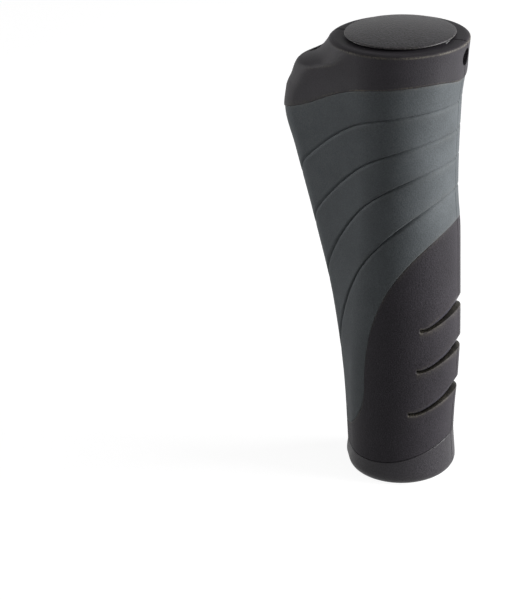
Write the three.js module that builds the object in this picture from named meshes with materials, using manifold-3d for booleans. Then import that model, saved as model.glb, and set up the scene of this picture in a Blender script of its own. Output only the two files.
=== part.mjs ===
// Wing-shaped handlebar grip with a clamp ring and an end plug, in millimetres.
// Z is the axis of the handlebar. The inboard end is at Z = 0 and the outboard end, with the ring and the
// plug, is at the top. The palm wing points to -X. Angles round the bar are measured from the wing.
import * as THREE from 'three';
import { mergeVertices } from 'three/addons/utils/BufferGeometryUtils.js';
import Module from 'manifold-3d';

const wasm = await Module();
wasm.setup();

// Driving dimensions
const gripLength = 135.7;
const boreRadius = 11.15;
const sleeveWall = 1.45;
const fitGap = 0.3;

// Clamp ring and its screws
const ringWall = 2.35;
const ringDepth = 8;
const lobeRise = 1.2;
const lobeHalfWidth = 3.9;
const screwRadius = 2;
const screwLength = 3.6;
const screwSocketRadius = 1.15;
const screwSocketDepth = 1.8;
const screwPointRadius = 1.1;
const screwPointReach = 0.45;
const screwCupDepth = 0.55;
const screwDepth = 4.8;
const keyHoleClearance = 0.5;
const cutOvershoot = 1;
const ringOuterRadius = boreRadius + ringWall;
const lobeReach = ringOuterRadius + lobeRise;
const ringBottom = gripLength - ringDepth;
const screwHeight = gripLength - screwDepth;
const keyHoleRadius = screwRadius + keyHoleClearance;

// Two-colour rubber
const inlayThickness = 1.8;
const grooveDepth = 0.65;
const grooveHalfWidth = 0.6;
const tongueTip = 12.8;
const tongueWaist = 31;
const tongueHalfAngle = 65;
const inlayEdgeAtBack = 81.8;
const inlayEdgePower = 1.9;
const endSeamFromFace = 9.2;
const endSeamDropAtWing = 14.7;
const endSeamSpread = 33.5;
const endSeamPower = 2.1;
const endSeamDropAtBack = 3;
const endSeamBackPower = 24;

// Grooves of the inlay from the inboard one out: distance from the outboard face at the back, drop towards the
// wing, and how late the drop comes
const grooveFromFace = [44.4, 35, 26.4, 17.8];
const grooveDrop = [54.4, 39.3, 29.2, 21.3];
const groovePower = [2.12, 2.47, 2.66, 3.54];

// Close to the wing every groove dips once more and turns in a rounded nose
const grooveDip = 13.8;
const grooveDipAngle = 12;
const grooveNoseAngle = 5;

// Finger slots, placed by their share of the way from the collar's seam to the inlay's lower edge. Their ends
// turn up a little.
const slotShares = [0.203, 0.405, 0.595];
const slotCurl = 0.03;
const slotCurlPower = 6.5;
const slotHalfAngles = [68, 59, 55];
const slotDepth = 1.7;
const slotHeight = 3.4;
const slotLipShare = 0.12;
const slotFloorShare = 0.4;
const slotFloorRise = 0.55;
const slotFadeAngle = 10;

// Collar at the inboard end
const collarHeightAtWing = 6.5;
const collarHeightAtBack = 12.5;
const collarSeamPower = 2.9;
const collarFlare = 0.55;
const collarFlarePower = 1.5;
const collarEdge = 3;

// Outboard end piece, whose face has a wide and low rounded edge
const faceEdgeWidth = 3;
const faceEdgeHeight = 1.2;

// End plug
const plugHeadRadius = 15.75;
const plugHeadEdge = 0.3;
const plugRimThickness = 0.75;
const plugDome = 1.1;
const plugSkirtDepth = 2.6;
const plugSkirtClearance = 1;
const plugStemRadius = 6.2;
const plugRibRadius = 9.7;
const plugRibThickness = 0.8;
const plugRibDepths = [5.1, 9.2];
const plugTipDepth = 14.3;
const plugTipRadius = 8.7;

// How far the skin stands from the bar's axis. Low stations are [distance from the inboard end, radius], and
// high ones are [distance from the outboard face, radius].
const wingLow = [[0, 16.8], [6, 17.1], [25, 17.9], [52, 20.9]];
const wingHigh = [[55.4, 27], [35.4, 32], [23.4, 34.8], [17.4, 34.2], [13, 32.3], [10.8, 31.5]];
const wingShoulder = [[9.3, 30.7], [8.6, 30], [7.4, 27.6], [5.8, 24.6], [4.2, 22.7], [1.8, 20.8]];
const wingFace = [[0, 19.8]];
const noseLow = [[0, 8], [60, 7.5]];
const noseHigh = [[35, 7.6], [12, 8.4], [8.5, 10], [5.6, 13.5], [1.8, 17], [0, 18.5]];
const sideLow = [[0, 16], [6, 15.8], [28, 16.3], [60, 16.6]];
const sideHigh = [[35.4, 17.2], [17.4, 18.6], [0, 19.8]];
const backLow = [[0, 15.3], [8, 15.2], [18, 15.6], [32, 16.8], [46, 17.4], [66, 17.3]];
const backHigh = [[58.4, 17.2], [45.4, 16.4], [19.4, 17.2], [7.4, 18.9], [0, 19.8]];

const wingReach = profile(wingLow, [...wingHigh, ...wingShoulder, ...wingFace]);
const wingNoseRadius = profile(noseLow, noseHigh);
const sideRadius = profile(sideLow, sideHigh);
const backRadius = profile(backLow, backHigh);

// Angles of the mesh columns on one side, in degrees from the wing. They crowd where the inlay's edge is steep.
const columnAngles = [
  0, 5, 10, 16, 23, 31, 40, 49, 56, 61, 64, 66, 69, 74, 81, 90, 100, 110, 119, 128, 138, 148, 159, 170, 180,
];
const columns = [...columnAngles, ...columnAngles.slice(1, -1).reverse().map((angle) => 360 - angle)];

/** Radius as a curve over the height, from low stations and high stations. */
function profile(low, high) {
  return curveThrough([...low, ...high.map(([distance, radius]) => [gripLength - distance, radius])]);
}

/** Smooth curve through [x, y] points, with slopes limited so that it never overshoots them. */
function curveThrough(points) {
  const steepness = points.slice(1).map(([x, y], i) => (y - points[i][1]) / (x - points[i][0]));
  const slopes = points.map((_, i) => {
    const before = steepness[Math.max(i - 1, 0)];
    const after = steepness[Math.min(i, steepness.length - 1)];
    return before * after <= 0 ? 0 : (2 * before * after) / (before + after);
  });
  return (x) => {
    let i = points.findIndex(([px]) => px > x) - 1;
    if (i === -2) i = points.length - 2;
    i = Math.max(i, 0);
    const [x0, y0] = points[i];
    const [x1, y1] = points[i + 1];
    const span = x1 - x0;
    const t = THREE.MathUtils.clamp((x - x0) / span, 0, 1);
    const ease = t * t * (3 - 2 * t);
    const bend0 = t * (1 - t) * (1 - t) * span * slopes[i];
    const bend1 = t * t * (t - 1) * span * slopes[i + 1];
    return y0 + (y1 - y0) * ease + bend0 + bend1;
  };
}

/** Angle from the wing in radians, from 0 to pi, the same on both sides. */
function fold(angle) {
  const turned = Math.abs(angle) % 360;
  return THREE.MathUtils.degToRad(Math.min(turned, 360 - turned));
}

/** Evenly spaced values between two others, without them. */
function between(low, high, count) {
  return Array.from({ length: count }, (_, i) => low + ((high - low) * (i + 1)) / (count + 1));
}

/** Radius of the skin at an angle and a height: a round grip joined by tangent flats to the wing's nose. */
function skinRadius(angle, z) {
  const turn = fold(angle);
  const back = Math.max(-Math.cos(turn), 0) ** 2;
  const round = sideRadius(z) + (backRadius(z) - sideRadius(z)) * back;
  const nose = wingNoseRadius(z);
  const noseCentre = wingReach(z) - nose;
  const flatTurn = Math.acos(THREE.MathUtils.clamp((round - nose) / noseCentre, -1, 1));
  const noseTurn = Math.atan2(nose * Math.sin(flatTurn), noseCentre + nose * Math.cos(flatTurn));
  if (turn >= flatTurn) return round;
  if (turn > noseTurn) return round / Math.cos(flatTurn - turn);
  return noseCentre * Math.cos(turn) + Math.sqrt(nose ** 2 - (noseCentre * Math.sin(turn)) ** 2);
}

/** Height of the slanted seam between the collar and the body. */
function collarSeam(angle) {
  const share = ((1 - Math.cos(fold(angle))) / 2) ** collarSeamPower;
  return collarHeightAtWing + (collarHeightAtBack - collarHeightAtWing) * share;
}

/** Height of the lower edge of the inlay: a tongue with a round end near the collar, which opens to the back. */
function inlayLowerEdge(angle) {
  const turn = fold(angle);
  const waistTurn = THREE.MathUtils.degToRad(tongueHalfAngle);
  if (turn < waistTurn) {
    return tongueWaist - (tongueWaist - tongueTip) * Math.sqrt(1 - (turn / waistTurn) ** 2);
  }
  const fromBack = (Math.PI - turn) / (Math.PI - waistTurn);
  const opening = (1 - fromBack ** inlayEdgePower) ** (1 / inlayEdgePower);
  return tongueWaist + (inlayEdgeAtBack - tongueWaist) * opening;
}

/** Height of the seam between the inlay and the outboard end piece, which dips at the wing and at the back. */
function endSeam(angle) {
  const turn = fold(angle);
  const atWing = 1 / (1 + (turn / THREE.MathUtils.degToRad(endSeamSpread)) ** endSeamPower);
  const atBack = ((1 - Math.cos(turn)) / 2) ** endSeamBackPower;
  return gripLength - endSeamFromFace - endSeamDropAtWing * atWing - endSeamDropAtBack * atBack;
}

/** Heights of the grooves, which turn in a rounded nose where they cross the wing. */
function grooveHeights(angle) {
  const turn = Math.min(Math.hypot(fold(angle), THREE.MathUtils.degToRad(grooveNoseAngle)), Math.PI);
  const dip = grooveDip * Math.exp(-turn / THREE.MathUtils.degToRad(grooveDipAngle));
  return grooveFromFace.map((fromFace, i) => {
    return gripLength - fromFace - grooveDrop[i] * (1 - turn / Math.PI) ** groovePower[i] - dip;
  });
}

/** Share and depth of every finger slot at an angle: full round the back and faded out at its ends. */
function slotsAt(angle) {
  const fromBack = 180 - THREE.MathUtils.radToDeg(fold(angle));
  return slotShares.map((share, i) => {
    const halfAngle = slotHalfAngles[i];
    const curl = slotCurl * Math.min(fromBack / halfAngle, 1) ** slotCurlPower;
    const fade = THREE.MathUtils.smoothstep(fromBack, halfAngle - slotFadeAngle, halfAngle);
    return { share: share + curl, depth: slotDepth * (1 - fade) };
  });
}

/** Closed ring round the bar. The outline of each column lists [radius, z] anticlockwise, with as many points. */
function ringGeometry(outlineAt) {
  const outlines = columns.map(outlineAt);
  const count = outlines[0].length;
  const positions = outlines.flatMap((outline, i) => {
    const angle = THREE.MathUtils.degToRad(columns[i]);
    return outline.flatMap(([radius, z]) => [-radius * Math.cos(angle), -radius * Math.sin(angle), z]);
  });
  const corner = (index) => new THREE.Vector3().fromArray(positions, 3 * index);
  const indices = [];
  for (let i = 0; i < columns.length; i++) {
    const next = (i + 1) % columns.length;
    for (let k = 0; k < count; k++) {
      const after = (k + 1) % count;
      const a = i * count + k;
      const b = next * count + k;
      const c = next * count + after;
      const d = i * count + after;
      const shorterAcross = corner(b).distanceTo(corner(d)) < corner(a).distanceTo(corner(c));
      if (shorterAcross) indices.push(a, b, d, b, c, d);
      else indices.push(a, b, c, a, c, d);
    }
  }
  const geometry = new THREE.BufferGeometry();
  geometry.setAttribute('position', new THREE.Float32BufferAttribute(positions, 3));
  geometry.setIndex(indices);
  return geometry;
}

const weldDistance = 1e-4;

function toSolid(geometry) {
  const bare = geometry.clone();
  bare.deleteAttribute('normal');
  bare.deleteAttribute('uv');
  const merged = mergeVertices(bare, weldDistance);
  return new wasm.Manifold(new wasm.Mesh({
    numProp: 3,
    vertProperties: new Float32Array(merged.attributes.position.array),
    triVerts: new Uint32Array(merged.index.array),
  }));
}

function fromSolid(solid) {
  const mesh = solid.getMesh();
  const geometry = new THREE.BufferGeometry();
  geometry.setAttribute('position', new THREE.BufferAttribute(mesh.vertProperties, 3));
  geometry.setIndex(new THREE.BufferAttribute(mesh.triVerts, 1));
  return geometry;
}

function subtractAll(geometry, cutters) {
  return fromSolid(cutters.reduce((solid, cutter) => solid.subtract(toSolid(cutter)), toSolid(geometry)));
}

const rodSides = 20;
const hexagonSides = 6;

/** Cylinder that runs outward from the bar's axis at an angle, between two radii, at the screws' height. */
function radialRod(angle, radius, inner, outer, sides = rodSides) {
  const geometry = new THREE.CylinderGeometry(radius, radius, outer - inner, sides);
  geometry.translate(0, (inner + outer) / 2, 0);
  return placeRadially(geometry, angle);
}

/** Turns a shape made along +Y so that it points outward at an angle from the wing. */
function placeRadially(geometry, angle) {
  geometry.rotateZ(THREE.MathUtils.degToRad(90 + angle));
  geometry.translate(0, 0, screwHeight);
  return geometry;
}

// The middle point of a quarter round lies at this share of its radius from both of its tangents.
const roundMiddle = 1 - Math.SQRT1_2;

/** Rigid tube over the bar. Its inboard end shows as the collar, flush at the seam and flared at the foot. */
function sleeveGeometry() {
  const tubeRadius = boreRadius + sleeveWall;
  const top = ringBottom - fitGap;
  return ringGeometry((angle) => {
    const seam = collarSeam(angle);
    const outer = (z, share) => [skinRadius(angle, z) + collarFlare * (1 - share ** collarFlarePower), z];
    const foot = outer(0, 0)[0];
    return [
      [boreRadius, 0],
      [foot - collarEdge, 0],
      [foot - collarEdge * roundMiddle, collarEdge * roundMiddle],
      outer(collarEdge, 0),
      outer((collarEdge + seam) / 2, 1 / 2),
      outer(seam, 1),
      [tubeRadius, seam],
      [tubeRadius, top],
      [boreRadius, top],
    ];
  });
}

const coreRadius = boreRadius + sleeveWall + fitGap;
const bandRests = 2;

/** Heights of the plain rows between the inlay's grooves, from its lower edge to the end seam. */
function inlayBands(angle) {
  const lines = [inlayLowerEdge(angle) + fitGap, ...grooveHeights(angle), endSeam(angle) - fitGap];
  return lines.slice(1).map((upper, i) => between(lines[i], upper, bandRests));
}

/** Black rubber body: bare skin with finger slots below the inlay, and a recessed bed under it. */
function bodyGeometry() {
  return ringGeometry((angle) => {
    const start = collarSeam(angle) + fitGap;
    const end = inlayLowerEdge(angle);
    const span = end - start;
    const slotSpan = slotHeight / (inlayEdgeAtBack - collarHeightAtBack);
    const row = (share, sink = 0) => {
      const z = start + span * share;
      return [skinRadius(angle, z) - sink, z];
    };
    const rests = (low, high, count) => between(low, high, count).map((share) => row(share));
    const slots = slotsAt(angle);
    const slotRows = slots.flatMap(({ share, depth }, i) => [
      ...rests(i === 0 ? 0 : slots[i - 1].share + slotSpan, share, 1),
      row(share),
      row(share + slotSpan * slotLipShare, depth),
      row(share + slotSpan * slotFloorShare, depth * slotFloorRise),
      row(share + slotSpan),
    ]);
    const bed = (z) => [skinRadius(angle, z) - inlayThickness - fitGap, z];
    const top = endSeam(angle) - fitGap;
    return [
      [coreRadius, start],
      row(0),
      ...slotRows,
      ...rests(slots.at(-1).share + slotSpan, 1, bandRests),
      row(1),
      bed(end),
      ...inlayBands(angle).map(([lower]) => bed(lower)),
      bed(top),
      [coreRadius, top],
    ];
  });
}

/** Grey rubber inlay over the body, with its curved grooves. */
function inlayGeometry() {
  return ringGeometry((angle) => {
    const start = inlayLowerEdge(angle) + fitGap;
    const top = endSeam(angle) - fitGap;
    const skin = (z, sink = 0) => [skinRadius(angle, z) - sink, z];
    const bands = inlayBands(angle);
    const heights = grooveHeights(angle);
    const groove = (z) => [skin(z - grooveHalfWidth), skin(z, grooveDepth), skin(z + grooveHalfWidth)];
    const outside = bands.flatMap((band, i) => {
      const rests = band.map((z) => skin(z));
      return i < heights.length ? [...rests, ...groove(heights[i])] : rests;
    });
    const inside = bands.map(([lower]) => skin(lower, inlayThickness)).reverse();
    return [
      skin(start, inlayThickness), skin(start), ...outside, skin(top), skin(top, inlayThickness), ...inside,
    ];
  });
}

/** Outline of the clamp ring seen along the bar: a circle with a flat-ended lobe on each side. */
function ringShape(clearance) {
  const circle = ringOuterRadius + clearance;
  const reach = lobeReach + clearance;
  const half = lobeHalfWidth + clearance;
  const lobeStart = Math.asin(half / circle);
  const shape = new THREE.Shape();
  shape.moveTo(reach, -half);
  shape.lineTo(reach, half);
  shape.absarc(0, 0, circle, lobeStart, Math.PI - lobeStart, false);
  shape.lineTo(-reach, half);
  shape.lineTo(-reach, -half);
  shape.absarc(0, 0, circle, Math.PI + lobeStart, 2 * Math.PI - lobeStart, false);
  shape.closePath();
  return shape;
}

const ringSegments = 22;

function ringPrism(shape, bottom, height) {
  const options = { depth: height, bevelEnabled: false, curveSegments: ringSegments };
  const geometry = new THREE.ExtrudeGeometry(shape, options);
  geometry.translate(0, 0, bottom);
  return geometry;
}

const screwAngles = { wing: 0, back: 180, underside: 270 };

/** Black end piece: wing corner, flat face, seat of the clamp ring and the key holes to its screws. */
function endPieceGeometry() {
  const shoulderHeights = wingShoulder.map(([distance]) => gripLength - distance);
  const shell = ringGeometry((angle) => {
    const start = endSeam(angle);
    const skin = (z, sink = 0) => [skinRadius(angle, z) - sink, z];
    return [
      [coreRadius, start],
      skin(start),
      ...between(start, shoulderHeights[0], bandRests).map((z) => skin(z)),
      ...shoulderHeights.map((z) => skin(z)),
      skin(gripLength - faceEdgeHeight),
      skin(gripLength - faceEdgeHeight * roundMiddle, faceEdgeWidth * roundMiddle),
      skin(gripLength, faceEdgeWidth),
      [coreRadius, gripLength],
    ];
  });
  const seat = ringPrism(ringShape(fitGap), ringBottom - fitGap, ringDepth + 2 * fitGap);
  const keyHoles = Object.values(screwAngles).map((angle) => {
    return radialRod(angle, keyHoleRadius, ringOuterRadius, wingReach(ringBottom) + cutOvershoot);
  });
  return subtractAll(shell, [seat, ...keyHoles]);
}

/** Aluminium clamp ring with two lobes and its threaded cross holes. */
function clampRingGeometry() {
  const shape = ringShape(0);
  const bore = new THREE.Path();
  bore.absarc(0, 0, boreRadius, 0, 2 * Math.PI, true);
  shape.holes.push(bore);
  const blank = ringPrism(shape, ringBottom, ringDepth);
  const threads = Object.values(screwAngles).map((angle) => {
    return radialRod(angle, screwRadius + fitGap, boreRadius - cutOvershoot, lobeReach + cutOvershoot);
  });
  return subtractAll(blank, threads);
}

const screwSides = 16;

/** Grub screw with a cup point that grips the bar and a hexagon socket at its outer end. */
function screwGeometry(angle) {
  const tip = boreRadius - screwPointReach;
  const head = tip + screwLength;
  const outline = [
    [0, tip + screwCupDepth],
    [screwPointRadius, tip],
    [screwRadius, tip + screwRadius - screwPointRadius],
    [screwRadius, head],
    [0, head],
  ].map(([radius, distance]) => new THREE.Vector2(radius, distance));
  const body = placeRadially(new THREE.LatheGeometry(outline, screwSides), angle);
  const socketFloor = head - screwSocketDepth;
  const socket = radialRod(angle, screwSocketRadius, socketFloor, head + cutOvershoot, hexagonSides);
  return subtractAll(body, [socket]);
}

const plugSides = 40;
const domeSteps = 5;
// Half the height of a rib's rim and the height of the end disc's rim, as shares of the rib's thickness
const ribRimShare = 0.2;
const discRimShare = 0.6;

/** End plug: low domed head, stem with two thin ribs and an end disc, turned round the bar's axis. */
function plugGeometry() {
  const seat = gripLength + fitGap;
  const tip = seat - plugTipDepth;
  const dome = Array.from({ length: domeSteps + 1 }, (_, i) => {
    const share = 1 - i / domeSteps;
    return [plugHeadRadius * share, seat + plugRimThickness + plugDome * (1 - share ** 2)];
  });
  const rib = (depth) => [
    [plugStemRadius, seat - depth - plugRibThickness / 2],
    [plugRibRadius, seat - depth - plugRibThickness * ribRimShare],
    [plugRibRadius, seat - depth + plugRibThickness * ribRimShare],
    [plugStemRadius, seat - depth + plugRibThickness / 2],
  ];
  const outline = [
    [0, tip],
    [plugTipRadius, tip],
    [plugTipRadius, tip + plugRibThickness * discRimShare],
    [plugStemRadius, tip + plugRibThickness],
    ...[...plugRibDepths].reverse().flatMap(rib),
    [plugStemRadius, seat - plugSkirtDepth],
    [boreRadius - plugSkirtClearance, seat],
    [plugHeadRadius - plugHeadEdge, seat],
    [plugHeadRadius, seat + plugHeadEdge],
    ...dome,
  ];
  const points = outline.map(([radius, z]) => new THREE.Vector2(radius, z));
  return new THREE.LatheGeometry(points, plugSides).rotateX(Math.PI / 2);
}

const blackRubber = { color: 0x2a282a, roughness: 0.72, metalness: 0 };
const greyRubber = { color: 0x4b5357, roughness: 0.75, metalness: 0 };
const blackPlastic = { color: 0x252427, roughness: 0.5, metalness: 0 };
const aluminium = { color: 0xd6d8da, roughness: 0.25, metalness: 1 };
const steel = { color: 0xb9bbbe, roughness: 0.3, metalness: 1 };

function namedMesh(name, geometry, finish) {
  const mesh = new THREE.Mesh(geometry, new THREE.MeshStandardMaterial(finish));
  mesh.name = name;
  return mesh;
}

const grip = new THREE.Group();
grip.name = 'handlebar_grip';
grip.add(
  namedMesh('core_sleeve', sleeveGeometry(), blackPlastic),
  namedMesh('grip_body', bodyGeometry(), blackRubber),
  namedMesh('palm_inlay', inlayGeometry(), greyRubber),
  namedMesh('outboard_end_piece', endPieceGeometry(), blackRubber),
  namedMesh('clamp_ring', clampRingGeometry(), aluminium),
);
for (const [place, angle] of Object.entries(screwAngles)) {
  grip.add(namedMesh(`grub_screw_${place}`, screwGeometry(angle), steel));
}
grip.add(namedMesh('end_plug', plugGeometry(), blackPlastic));

export default grip;
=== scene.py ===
"""Wing-shaped handlebar grip with its end plug pressed in, standing on its inboard end.

The grip is a stack of rings round the bar's axis: a rigid sleeve that ends in a collar, a black rubber
body with finger slots, a grey rubber inlay with curved grooves and a black outboard end piece. The end
piece holds an aluminium clamp ring with three grub screws, and a domed plug closes the bore. Sizes are in
millimetres. Z runs along the bar, the palm wing points to -X, and turns are measured from the wing.
"""

import logging
import math
from dataclasses import dataclass, field
from enum import Enum

import bmesh
import bpy
import numpy as np
from mathutils import Matrix, Vector

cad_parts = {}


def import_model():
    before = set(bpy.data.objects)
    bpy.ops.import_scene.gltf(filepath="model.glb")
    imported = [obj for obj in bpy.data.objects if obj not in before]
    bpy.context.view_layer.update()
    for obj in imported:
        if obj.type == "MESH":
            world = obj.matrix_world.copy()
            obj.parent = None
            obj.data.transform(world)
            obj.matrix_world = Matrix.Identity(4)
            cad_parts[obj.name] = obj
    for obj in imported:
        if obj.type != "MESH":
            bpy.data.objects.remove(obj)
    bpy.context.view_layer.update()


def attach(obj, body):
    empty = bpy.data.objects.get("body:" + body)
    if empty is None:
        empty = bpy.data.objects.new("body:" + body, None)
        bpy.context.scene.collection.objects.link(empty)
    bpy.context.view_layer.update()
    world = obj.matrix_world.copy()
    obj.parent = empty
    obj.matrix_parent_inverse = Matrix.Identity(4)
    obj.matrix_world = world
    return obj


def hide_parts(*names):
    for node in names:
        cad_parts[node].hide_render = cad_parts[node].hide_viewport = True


log = logging.getLogger("handlebar_grip")

MM = 0.001

# Worn edges, which also carry painted highlights: how sharp an edge is fully marked, and over how many rows
# it is compared and softened
WEAR_HIGHLIGHT_REACH = 0.5
WEAR_HIGHLIGHT_NEIGHBOURS = 8
WEAR_HIGHLIGHT_SPREAD = 5
SHORTEST_SPAN = 0.05

# Steepest slope that a line round the grip is counted with, and steps that a crowded span is read from
STEEPEST_LINE = 6.0
SPAN_STEPS = 6001

# Edges that turn more than this, in degrees, are shaded sharp
SHARP_ANGLE = 50.0
SHARP_ANGLE_CUT = 35.0
SHARP_ANGLE_THREAD = 30.0

Colour = tuple[float, float, float]


class Place(Enum):
    """Where a grub screw sits round the bar, in degrees from the wing."""

    WING = 0.0
    BACK = 180.0
    UNDERSIDE = 270.0


class Station(Enum):
    """The end of the grip that a distance along the bar is counted from."""

    INBOARD = 0
    OUTBOARD = 1


def smooth_step(value: np.ndarray, low: float, high: float) -> np.ndarray:
    """Rise from 0 at low to 1 at high with flat ends.

    Args:
        value: Where the step is read.
        low: Value at which the step starts.
        high: Value at which the step is complete.

    Returns:
        The step's height, from 0 to 1.
    """
    share = np.clip((value - low) / (high - low), 0.0, 1.0)
    return share * share * (3.0 - 2.0 * share)


def crowded_span(
    low: float, high: float, count: int, crowds: tuple[tuple[float, float, float], ...]
) -> np.ndarray:
    """Values from low to high that stand closer together round chosen places.

    The density is 1 plus one bell curve for each crowd, and the values are its even quantiles.

    Args:
        low: First value.
        high: Last value.
        count: How many values there are.
        crowds: Centre, width and extra density of each crowd.

    Returns:
        The values in rising order, with both ends.
    """
    fine = np.linspace(low, high, SPAN_STEPS)
    density = np.ones_like(fine)
    for centre, width, extra in crowds:
        density += extra * np.exp(-(((fine - centre) / width) ** 2))
    total = np.concatenate([[0.0], np.cumsum((density[1:] + density[:-1]) / 2.0)])
    return np.interp(np.linspace(0.0, total[-1], count), total, fine)


def lean(line: np.ndarray, turns: np.ndarray, radius: np.ndarray) -> np.ndarray:
    """How much longer a step up the bar is than the step square to a line that runs round the grip.

    It is the hypotenuse of one and the line's slope, its rise over the arc between neighbouring columns.

    Args:
        line: Height of the line at each column.
        turns: Angle of each column from the wing, from 0 to pi.
        radius: Radius of the skin on the line.

    Returns:
        The ratio at each column.
    """
    arc = np.abs(np.gradient(turns)) * radius
    slope = np.gradient(line) / np.maximum(arc, 1e-6)
    return np.hypot(1.0, np.clip(slope, -STEEPEST_LINE, STEEPEST_LINE))


@dataclass(frozen=True)
class SmoothCurve:
    """Curve through points with limited slopes, so that it never overshoots them."""

    points: tuple[tuple[float, float], ...]

    def __call__(self, x: np.ndarray) -> np.ndarray:
        """Height of the curve.

        Each span is a cubic whose end slopes are the harmonic means of the chords' slopes.

        Args:
            x: Where the curve is read; values beyond the ends give the end points' heights.

        Returns:
            The heights, in an array like x.
        """
        xs, ys = np.array(self.points).T
        chord = np.diff(ys) / np.diff(xs)
        before, after = np.r_[chord[0], chord], np.r_[chord, chord[-1]]
        same_way = before * after > 0.0
        both = np.where(same_way, before + after, 1.0)
        slope = np.where(same_way, 2.0 * before * after / both, 0.0)
        i = np.clip(np.searchsorted(xs, x, side="right") - 1, 0, len(xs) - 2)
        span = xs[i + 1] - xs[i]
        t = np.clip((x - xs[i]) / span, 0.0, 1.0)
        ease = t * t * (3.0 - 2.0 * t)
        bend = t * (1.0 - t) ** 2 * span * slope[i] + t * t * (t - 1.0) * span * slope[i + 1]
        return ys[i] + (ys[i + 1] - ys[i]) * ease + bend


@dataclass(frozen=True)
class Groove:
    """A groove of the inlay, from the back of the grip down to the wing.

    Attributes:
        from_face: Distance from the outboard face at the back.
        drop: How far it falls towards the wing.
        power: How late the fall begins.
    """

    from_face: float
    drop: float
    power: float


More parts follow.
